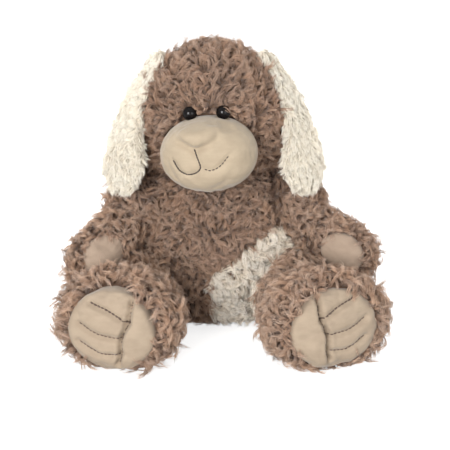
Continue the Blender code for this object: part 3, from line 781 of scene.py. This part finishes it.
# The kind of pile on a panel and its material, by the start of its name
STYLES = {
    "ear": ("ear", "ear"),
    "hip": ("cream", "cream"),
    "crown": ("head", "brown"),
    "head": ("head", "brown"),
    "arm": ("curly", "limb"),
    "leg": ("curly", "limb"),
}


def style_of(node):
    return STYLES.get(node.split("_")[0], ("curly", "brown"))


def eye_free(points):
    """Keeps the pile off the eyes, and lets a little fall over their upper rims."""
    keep = np.ones(len(points), bool)
    for side in SIDES:
        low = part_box(f"eye_{side}")[0]
        eye = box_mid(f"eye_{side}")
        rel = points - np.array([eye[0], low.y, eye[2] - 3.0 * MM])
        flat = np.hypot(rel[:, 0], rel[:, 2] * 1.05)
        keep &= ~((flat < 5.4 * MM) & (rel[:, 1] < 22 * MM))
    return keep


def rooted(body, points, normal, kind, trees, boxes):
    """True for the roots that carry pile: outside every other body, off the velour and eyes."""
    keep = np.ones(len(points), bool)
    for other, tree in trees.items():
        if other != body:
            keep &= is_clear(tree, boxes[other], points, 1.2 * MM)
    for index, node in enumerate(PANELS[body]):
        if node.startswith(BALD):
            keep &= kind != index
    height = points[:, 2]
    if body == "neck":
        keep &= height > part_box("torso_back_panel")[1].z - 10 * MM
        keep &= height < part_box("head_left_panel")[0].z + 6 * MM
    if body == "head":
        keep &= eye_free(points)
    if body == "torso":
        keep &= (height > 2.5 * MM) | (normal[:, 2] > -0.6)
    return keep


def panel_groups(body, points, kind):
    """The roots of every panel, as (CAD node, name of the piece, which roots)."""
    groups = [(node, node, kind == index) for index, node in enumerate(PANELS[body])
              if not node.startswith(BALD)]
    if body == "leg_left":
        close = distances(node_tree("hip_patch"), points) < PATCH_ON_LEG
        groups = [(node, name, mine & ~close) for node, name, mine in groups]
        groups.append(("hip_patch", "leg_left_patch", close & (kind == 0)))
    return [group for group in groups if group[2].any()]


def build_fur(skins):
    rng = np.random.default_rng(SEED)
    trees, boxes = {}, {}
    for body, skin in skins.items():
        trees[body] = tree_of(skin.data)
        co = coords(skin.data)
        boxes[body] = (co.min(0), co.max(0))
    for body, skin in skins.items():
        style = PILE[style_of(PANELS[body][0])[0]]
        points, normal = scatter(skin.data, style["spacing"] * MM, rng)
        kind = nearest_node(points, PANELS[body], {"hip_patch": PATCH_REACH})
        keep = rooted(body, points, normal, kind, trees, boxes)
        points, normal, kind = points[keep], normal[keep], kind[keep]
        flow = flow_of(body, points, normal)
        flow = turned(flow, normal, swirl_noise(points, 32 * MM, rng) * style["swirl"])
        scale = length_scale(body, points, normal)
        # Painted crease shade: a factor below 1 for roots close to another limb, which darkens
        # their locks
        light = painted_crease_shade(body, points, trees)
        for node, name, mine in panel_groups(body, points, kind):
            look, material = style_of(node)
            slot = "cream_plush" if material in ("cream", "ear") else "brown_plush"
            replaced = [node] if node == name and node != "neck_stuffing" else []
            for part, mesh in enumerate(shares(points, mine, PILE[look])):
                piece = grow(f"pile_{name}_{part + 1}", points[mesh], normal[mesh], flow[mesh],
                             PILE[look], material, rng, scale[mesh], light[mesh])
                place(piece, body, slot, *replaced)


def shares(points, mine, style):
    """Cuts a panel's locks, from its right to its left, into meshes of a workable size."""
    faces = style["strands"] * ((style["rings"] - 2) * 6 + 3)
    index = np.nonzero(mine)[0]
    index = index[np.argsort(points[index, 0])]
    return np.array_split(index, math.ceil(len(index) * faces / MOST_FACES))


def painted_crease_shade(body, points, trees):
    """Painted shade: locks deep in the creases between two limbs are coloured nearly as dark as
    their roots.
    """
    light = np.ones(len(points))
    freely = ("ear", "tail", "neck")
    reach = 14 * MM
    if body.startswith(freely):
        return light
    for other, tree in trees.items():
        if other != body and not other.startswith(freely):
            gap = smooth_step(distances(tree, points, reach), 2 * MM, reach)
            light = np.minimum(light, 0.30 + 0.70 * gap)
    return light


def length_scale(body, points, normal):
    """Shorter pile on the face, the crown and under the toy; longer under the chin and at the
    rim of each sole."""
    scale = np.ones(len(points))
    floor = np.clip(points[:, 2] / (12 * MM), 0.35, 1.0)
    if body == "head":
        mid = box_mid("head_stuffing")
        scale *= 1.0 - 0.25 * smooth_step(normal[:, 2], 0.75, 0.97)
        face = unit(box_mid("muzzle_panel") - mid)
        near = np.clip((unit(points - mid) @ face - 0.45) / 0.4, 0, 1)
        scale *= 1.0 - 0.3 * near
        scale *= 1.0 + 0.25 * rise(mid[2] - points[:, 2], 0, 40) * (1 - near)
    if body.startswith("leg"):
        sole, axis = limb_axis(body)
        near = hump((points - sole) @ axis, 14 * MM)
        scale *= 1.0 + 0.35 * near
        floor = np.maximum(floor, 1.3 * near)
    scale *= {"neck": 0.8, "tail": 0.9}.get(body, 1.0)
    return scale * np.where(normal[:, 2] < -0.5, floor, 1.0)


# Velour pieces


def padded(obj, held):
    """Fills the sewn cloth: a coarse copy is blown up from inside while its seams are held,
    and obj takes over the shape the cloth settled in."""
    copy = add_mesh(f"{obj.name}_cloth", obj.data.copy(), "beige")
    add_remesh(copy, CLOTH_VOXEL)
    applied(copy)
    keep_largest(copy.data)
    rest = coords(copy.data)
    group = copy.vertex_groups.new(name="held")
    for index, amount in enumerate(held(rest, normals(copy.data))):
        if amount > 0.01:
            group.add([index], float(min(amount, 1.0)), "REPLACE")
    cloth = copy.modifiers.new("cloth", "CLOTH")
    for name, value in CLOTH.items():
        setattr(cloth.settings, name, value)
    cloth.settings.effector_weights.gravity = 0.0
    cloth.collision_settings.use_collision = False
    cloth.point_cache.frame_end = CLOTH_FRAMES
    for frame_number in range(1, CLOTH_FRAMES + 1):
        SCENE.frame_set(frame_number)
    graph = bpy.context.evaluated_depsgraph_get()
    settled = copy.evaluated_get(graph).to_mesh()
    shift = coords(settled) - rest
    SCENE.frame_set(1)
    bpy.data.objects.remove(copy)
    size = np.linalg.norm(shift, axis=1, keepdims=True)
    shift *= MOST_PUFF * np.tanh(size / MOST_PUFF) / np.maximum(size, 1e-9)
    take_over(obj.data, rest, shift)


def take_over(mesh, rest, shift):
    """Moves the mesh as the points nearby moved from their rest."""
    tree = KDTree(len(rest))
    for index, spot in enumerate(rest.tolist()):
        tree.insert(spot, index)
    tree.balance()
    co = coords(mesh)
    for index, spot in enumerate(co.tolist()):
        near = tree.find_n(spot, 5)
        weights = np.array([1.0 / (d + 1.2 * MM) ** 2 for _, _, d in near])
        moved = shift[[i for _, i, _ in near]] * weights[:, None]
        co[index] += moved.sum(0) / weights.sum()
    set_coords(mesh, co)


def distance_to_path(co, path):
    """Distance of every point to a polyline."""
    best = np.full(len(co), 1.0)
    for a, b in zip(path, path[1:]):
        ab = b - a
        t = np.clip(((co - a) @ ab) / max(ab @ ab, 1e-18), 0, 1)
        best = np.minimum(best, np.linalg.norm(co - (a + t[:, None] * ab), axis=1))
    return best


def near_seams(co, paths):
    """1 on a seam, fading within a few millimetres."""
    return np.max([hump(distance_to_path(co, path), SEAM_HOLD) for path in paths], axis=0)


def smooth_path(points, per=8):
    points = [np.array(p, float) for p in points]
    longer = [2 * points[0] - points[1], *points, 2 * points[-1] - points[-2]]
    line = []
    for a, b, c, d in zip(longer, longer[1:], longer[2:], longer[3:]):
        for t in np.arange(per) / per:
            line.append(0.5 * (2 * b + (c - a) * t + (2 * a - 5 * b + 4 * c - d) * t * t
                               + (3 * b - a - 3 * c + d) * t ** 3))
    return np.array([*line, points[-1]])


def in_box(node, shape, mirror=False):
    """Turns (across, up) from 0 to 1 into points of the node's box, at its front."""
    low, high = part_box(node)
    line = []
    for x, z in shape:
        x = 1 - x if mirror else x
        line.append((low.x + (high.x - low.x) * x, low.y, low.z + (high.z - low.z) * z))
    return smooth_path(line)


def on_surface(tree, line, direction):
    """Where the line, seen along the direction, lies on the surface, with the normals there."""
    direction = Vector(direction).normalized()
    path, normal = [], []
    for point in line:
        spot, out, _, _ = tree.ray_cast(Vector(point) - direction * 60 * MM, direction)
        if spot is not None:
            path.append(list(spot))
            normal.append(list(out))
    return np.array(path), np.array(normal)


def ring(centre, x, y, radius, sides):
    """Points round a circle that x and y span."""
    turn = (np.arange(sides) * TURN / sides)[:, None]
    return list(centre + (x * np.cos(turn) + y * np.sin(turn)) * radius)


def tube_faces(first, rows, sides):
    """Quads, as two triangles each, between rows of points laid round a tube."""
    tris = []
    for row in range(rows - 1):
        for j in range(sides):
            a = first + row * sides + j
            b = first + row * sides + (j + 1) % sides
            tris += [(a, b, b + sides), (a, b + sides, a + sides)]
    return tris


def running_stitch(name, path, normal, material, stitch, gap, radius):
    """Separate stitches, in millimetres, laid end to end along the path as arched threads."""
    lengths = np.concatenate([[0], np.cumsum(np.linalg.norm(np.diff(path, axis=0), axis=1))])
    count = max(2, int(lengths[-1] / ((stitch + gap) * MM)))
    step = lengths[-1] / count
    sides, rings = 8, 7
    t = np.linspace(0, 1, rings)
    size = radius * MM * np.sqrt(np.clip(1 - (2 * t - 1) ** 6, 0.12, 1))
    verts, tris = [], []
    for i in range(count):
        s = i * step + np.linspace(0, step - gap * MM, rings)
        centre = np.stack([np.interp(s, lengths, path[:, k]) for k in range(3)], 1)
        out = unit(np.stack([np.interp(s, lengths, normal[:, k]) for k in range(3)], 1))
        centre = centre + out * ((np.sin(math.pi * t) * 0.45 - 0.30) * MM)[:, None]
        ahead = unit(np.gradient(centre, axis=0))
        across = unit(np.cross(ahead, out))
        up = np.cross(across, ahead)
        first = len(verts)
        for k in range(rings):
            verts += ring(centre[k], across[k], up[k], size[k], sides)
        verts += [centre[0] - ahead[0] * size[0] * 0.5, centre[-1] + ahead[-1] * size[-1] * 0.5]
        tris += tube_faces(first, rings, sides)
        last, start = first + (rings - 1) * sides, first + rings * sides
        for j in range(sides):
            tris.append((first + (j + 1) % sides, first + j, start))
            tris.append((last + j, last + (j + 1) % sides, start + 1))
    mesh = mesh_from_arrays(name, np.array(verts), np.array(tris))
    edited(mesh, outward)
    return add_mesh(name, mesh, material)


def press_lines(obj, lines, depth, width):
    """Sinks the surface along sewn lines, with a soft rise on both sides."""
    mesh = obj.data
    co, no = coords(mesh), normals(mesh)
    move = np.zeros(len(co))
    for path, deep, wide in lines:
        across = distance_to_path(co, path)
        move -= depth * deep * hump(across, width * wide)
        move += depth * deep * 0.22 * hump(across - width * wide * 2.4, width * wide * 1.3)
    set_coords(mesh, co + no * move[:, None])


MOUTH = {
    "right": [(0.78, 1.0), (0.90, 0.66), (1.0, 0.32), (0.86, 0.10), (0.58, 0.0), (0.24, 0.12),
              (0.0, 0.52)],
    "left": [(0.0, 0.08), (0.25, 0.0), (0.62, 0.28), (1.0, 1.0)],
}
MOUTH_SHIFT = (-2.2 * MM, 0.0, 0.0)
INTO_FACE = (0, 1, 0)


def build_muzzle():
    obj = union_skin("velour_muzzle", ["muzzle_panel", "chin_panel", "muzzle_stuffing"],
                     VELOUR_VOXEL, 14, material="beige")
    set_coords(obj.data, coords(obj.data) - UP * MUZZLE_DROP)
    tree = tree_of(obj.data)
    seams = {}
    for side, shape in MOUTH.items():
        line = in_box(f"mouth_stitch_{side}", shape) + MOUTH_SHIFT
        seams[side] = on_surface(tree, line, INTO_FACE)[0]
    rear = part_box("muzzle_panel")[0].y + 24 * MM
    padded(obj, lambda co, no: np.maximum(rise(co[:, 1] - rear, -4, 0),
                                          near_seams(co, seams.values())))
    shape_nose(obj.data)
    press_lines(obj, [(seams["right"], 1.0, 1.0), (seams["left"], 0.8, 1.0)], 1.1 * MM, 1.5 * MM)
    tree = tree_of(obj.data)
    for side, gap, radius in (("right", 0.15, 0.62), ("left", 0.9, 0.5)):
        path, normal = on_surface(tree, seams[side], INTO_FACE)
        piece = running_stitch(f"thread_mouth_{side}", path, normal, "dark_thread", 2.0, gap,
                               radius)
        place(piece, "head", "dark_thread", f"mouth_stitch_{side}")
    place(obj, "head", "beige_velour", "muzzle_panel", "chin_panel")


def shape_nose(mesh):
    """Pinches the cloth under the nose, and draws small puckers towards the pinch."""
    co, no = coords(mesh), normals(mesh)
    low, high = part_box("mouth_stitch_right")
    pinch = np.array([low.x + (high.x - low.x) * 0.74, low.y, high.z - 1.5 * MM])
    rel = co - pinch
    front = np.clip((-no[:, 1] - 0.1) / 0.5, 0, 1)
    dist = np.hypot(rel[:, 0], rel[:, 2])
    angle = np.arctan2(rel[:, 2], rel[:, 0])
    # A crease that runs under the nose, lower in the middle, and the nose standing over it
    over = rel[:, 0] + 1.0 * MM
    above = rel[:, 2] - 0.5 * MM - np.sqrt(over ** 2 + (1.5 * MM) ** 2) * 0.46
    across = np.exp(-(over / (17 * MM)) ** 4)
    move = -4.0 * MM * hump(above, np.where(above < 0, 2.2 * MM, 3.4 * MM)) * across
    move += 3.0 * MM * hump(above - 8.5 * MM, 7.0 * MM) * across
    move -= 1.2 * MM * hump(dist, 3.5 * MM)
    fan = hump(dist - 8 * MM, 8 * MM) * (angle > 0.2) * (angle < 2.9)
    move += 0.28 * MM * np.sin(angle * 17.0) * fan
    set_coords(mesh, co + no * (move * front)[:, None])


# The seams of a sole in the boxes of its stitches: (0, 0) is the lower inner corner
SOLE_SEAMS = {
    "toe_1": [(1.0, 1.0), (0.5, 0.62), (0.0, 0.0), (-0.10, -0.08)],
    "toe_2": [(1.0, 1.0), (0.52, 0.22), (0.0, 0.0), (-0.10, 0.02)],
    "toe_3": [(1.0, 1.0), (0.45, 0.0), (0.0, 0.06), (-0.08, 0.14)],
    "tuck": [(0.0, 1.0), (0.16, 0.70), (0.68, 0.43), (0.72, 0.20), (1.0, 0.0)],
}
SEAM_SHIFT = {"left": (-1.0 * MM, 0.0, 3.5 * MM), "right": (2.5 * MM, 0.0, 1.5 * MM)}
# How deep and how wide each seam is pressed, and the radius of its thread in millimetres
SEAM_PRESS = {"toe_1": (1.0, 1.0, 0.80), "toe_2": (1.0, 1.0, 0.48), "toe_3": (0.9, 1.0, 0.48),
              "tuck": (2.3, 0.85, 0.34)}


def seam_node(key, side):
    return f"tuck_stitch_{side}" if key == "tuck" else f"toe_stitch_{side}_{key[-1]}"


def build_sole(side):
    sign = SIDES[side]
    node, body = f"sole_pad_{side}", f"leg_{side}"
    axis = limb_axis(body)[1]
    axis[2] = 0.0
    axis = unit(axis)
    ahead = axis * 20 * MM
    obj = union_skin(f"velour_sole_{side}", [node, f"leg_{side}_stuffing"], VELOUR_VOXEL, 12,
                     material="sole")
    # Only the pad and a hidden rim behind it are kept
    depth = coords(NODES[node].data) @ axis
    back, edge = depth.min() - 3 * MM, depth.max() - 9 * MM
    cut_away(obj, lambda point: point.dot(Vector(axis)) < back)
    obj.data.shade_smooth()
    tree = tree_of(obj.data)
    seams = {}
    for key, shape in SOLE_SEAMS.items():
        line = in_box(seam_node(key, side), shape, mirror=sign < 0) + SEAM_SHIFT[side]
        seams[key] = on_surface(tree, line + ahead, -axis)[0]
    padded(obj, lambda co, no: np.maximum(rise(edge - co @ axis, 0, 4),
                                          near_seams(co, seams.values())))
    shape_sole(obj.data, seams, axis, sign)
    press_lines(obj, [(seams[key], *SEAM_PRESS[key][:2]) for key in seams], 2.3 * MM, 2.0 * MM)
    tree = tree_of(obj.data)
    for key in seams:
        path, normal = on_surface(tree, seams[key] + ahead, -axis)
        piece = running_stitch(f"thread_{key}_{side}", path, normal, "brown_thread", 2.6, 0.55,
                               SEAM_PRESS[key][2])
        place(piece, body, "brown_thread", seam_node(key, side))
    place(obj, body, "beige_velour", node)


def shape_sole(mesh, seams, axis, sign):
    """Puffs the toes between their seams and the crescent inside the tuck, with puckers."""
    co, no = coords(mesh), normals(mesh)
    front = np.clip((no @ axis - 0.35) / 0.4, 0, 1)
    out = unit(np.cross(UP, axis)) * sign
    tuck = seams["tuck"]
    u, v = co @ out, co[:, 2]
    order = np.argsort(tuck[:, 2])
    inner = np.interp(v, tuck[order, 2], (tuck @ out)[order]) - u
    seam = np.min([distance_to_path(co, path) for path in seams.values()], axis=0)
    move = 1.2 * MM * np.clip(seam / (9 * MM), 0, 1) ** 0.7
    move += 1.6 * MM * hump(inner - 9 * MM, 6.5 * MM)
    rel = co - tuck[0]
    angle, dist = np.arctan2(rel[:, 2], rel @ out), np.hypot(rel @ out, rel[:, 2])
    move += 0.42 * MM * np.sin(angle * 15) * hump(dist - 7 * MM, 7 * MM)
    ripple = np.sin(v / MM * 1.9 + u / MM * 0.5)
    move += 0.25 * MM * ripple * hump(inner + 2.5 * MM, 4 * MM)
    set_coords(mesh, co + no * (move * front)[:, None])


def build_paw(side):
    node, body = f"paw_pad_{side}", f"arm_{side}"
    obj = union_skin(f"velour_paw_{side}", [node, f"arm_{side}_stuffing"], VELOUR_VOXEL, 12,
                     material="paw")
    pad = coords(NODES[node].data)
    centre = pad.mean(0)
    face = np.linalg.svd(pad - centre, full_matrices=False)[2][2]
    if face[1] > 0:
        face = -face
    back = ((pad - centre) @ face).min() - 1.5 * MM
    tree = node_tree(node)
    cut_away(obj, lambda point: (np.array(point) - centre) @ face < back
             or tree.find_nearest(point)[3] > 7 * MM)
    keep_largest(obj.data)
    obj.data.shade_smooth()
    padded(obj, lambda co, no: smooth_step(0.45 - no @ face, 0, 0.3))
    co, no = coords(obj.data), normals(obj.data)
    front = np.clip((no @ face - 0.3) / 0.4, 0, 1)
    u, v = (co - centre) @ unit(np.cross(UP, face)), co[:, 2] - centre[2]
    dist = np.hypot(u, v)
    move = 1.4 * MM * np.clip(1 - (dist / (18 * MM)) ** 2, 0, 1)
    move += 0.22 * MM * np.sin(np.arctan2(v, u) * 22) * np.clip(dist / (16 * MM), 0, 1) ** 2
    set_coords(obj.data, co + no * (move * front)[:, None])
    place(obj, body, "taupe_velour", node)


# Eyes


def build_eye(side):
    """A domed eye on its flange and shank, turned about the CAD eye's axis."""
    co = coords(NODES[f"eye_{side}"].data)
    washer = coords(NODES[f"eye_washer_{side}"].data).mean(0)
    axis = unit(co[np.argmin(co[:, 1])] - washer)
    ahead = (co - washer) @ axis
    radius = np.linalg.norm((co - washer) - ahead[:, None] * axis, axis=1).max()
    base = ahead.max() - EYE_SUNK - EYE_DOME
    profile = [(0.0, base + EYE_DOME)]
    for i in range(1, 13):
        a = math.radians(7.5 * i)
        profile.append((radius * math.sin(a), base + EYE_DOME * math.cos(a)))
    profile += [(radius, base - 0.5 * MM), (radius * 0.95, base - 0.8 * MM),
                (EYE_SHANK, base - 0.8 * MM), (EYE_SHANK, ahead.min()), (0.0, ahead.min())]
    x = unit(np.cross(axis, UP))
    y = np.cross(axis, x)
    sides = 48
    verts = []
    for r, h in profile:
        verts += ring(washer + axis * h, x, y, r, sides)
    mesh = mesh_from_arrays(f"eye_dome_{side}", np.array(verts),
                            np.array(tube_faces(0, len(profile), sides)))
    edited(mesh, outward)
    mesh.shade_smooth()
    obj = add_mesh(f"eye_dome_{side}", mesh, "eye")
    place(obj, "head", "eye_gloss", f"eye_{side}")


def dress_cad():
    """The washers and the closing thread keep their CAD shapes."""
    for name, look in (("eye_washer_left", "washer"), ("eye_washer_right", "washer"),
                       ("back_closing_stitch", "brown_thread")):
        mesh = NODES[name].data
        mesh.materials.clear()
        mesh.materials.append(MAT[look])


# Stage

# Each soft light: place in metres, size in metres, power in watts
LIGHTS = {
    "key": ((-0.70, -1.8, 0.50), 0.8, 36.0),
    "fill": ((1.0, -1.6, 0.30), 1.0, 13.0),
    "top": ((0.0, 0.4, 1.9), 1.4, 5.0),
    "back left": ((1.3, 1.4, 0.8), 0.9, 16.0),
    "back right": ((-1.4, 1.3, 0.7), 0.9, 16.0),
}
LIGHT_AIM = Vector((0, -0.03, 0.11))
WHITE = (1, 1, 1, 1)


def for_camera(tree, to_light, to_camera, target):
    """Gives target one value for the camera's rays and another for the light."""
    path = tree.nodes.new("ShaderNodeLightPath")
    value = tree.nodes.new("ShaderNodeMapRange")
    value.inputs["To Min"].default_value = to_light
    value.inputs["To Max"].default_value = to_camera
    link(tree, path.outputs["Is Camera Ray"], value.inputs["Value"])
    link(tree, value.outputs["Result"], target)


def build_stage():
    """An evenly lit white sweep to the camera; the toy gets only the light it would bounce."""
    bpy.ops.mesh.primitive_plane_add(size=14.0, location=(0, 0, -0.2 * MM))
    floor = bpy.context.object
    floor.name = "studio_floor"
    mat = mottled_material("floor_white", (0.60,) * 3, (0.62,) * 3, 0.3, 3.0, 0.9, 0.0)
    shader = mat.node_tree.nodes["Principled BSDF"]
    shader.inputs["Emission Color"].default_value = WHITE
    for_camera(mat.node_tree, 0.0, 0.78, shader.inputs["Emission Strength"])
    floor.data.materials.clear()
    floor.data.materials.append(mat)
    world = bpy.data.worlds.new("studio")
    SCENE.world = world
    world.use_nodes = True
    background = world.node_tree.nodes["Background"]
    background.inputs["Color"].default_value = WHITE
    for_camera(world.node_tree, 0.58, 1.05, background.inputs["Strength"])
    for name, (spot, size, power) in LIGHTS.items():
        light = bpy.data.lights.new(name, "AREA")
        light.energy = power
        light.size = size
        obj = bpy.data.objects.new(name, light)
        obj.location = spot
        obj.rotation_euler = (LIGHT_AIM - Vector(spot)).to_track_quat("-Z", "Y").to_euler()
        SCENE.collection.objects.link(obj)
    SCENE.view_settings.view_transform = "Standard"
    SCENE.view_settings.look = "None"


def build_camera():
    data = bpy.data.cameras.new("camera")
    data.sensor_width = 36.0
    data.lens = 93.2
    camera = bpy.data.objects.new("camera", data)
    target = Vector((0.009, 0.0, 0.084))
    tilt = math.radians(15.0)
    camera.location = target + Vector((0, -math.cos(tilt), math.sin(tilt))) * 1.05
    camera.rotation_euler = (target - camera.location).to_track_quat("-Z", "Y").to_euler()
    SCENE.collection.objects.link(camera)
    SCENE.camera = camera


build_stage()
build_camera()
build_muzzle()
for each in SIDES:
    build_sole(each)
    build_paw(each)
    build_eye(each)
build_fur(build_skins())
dress_cad()
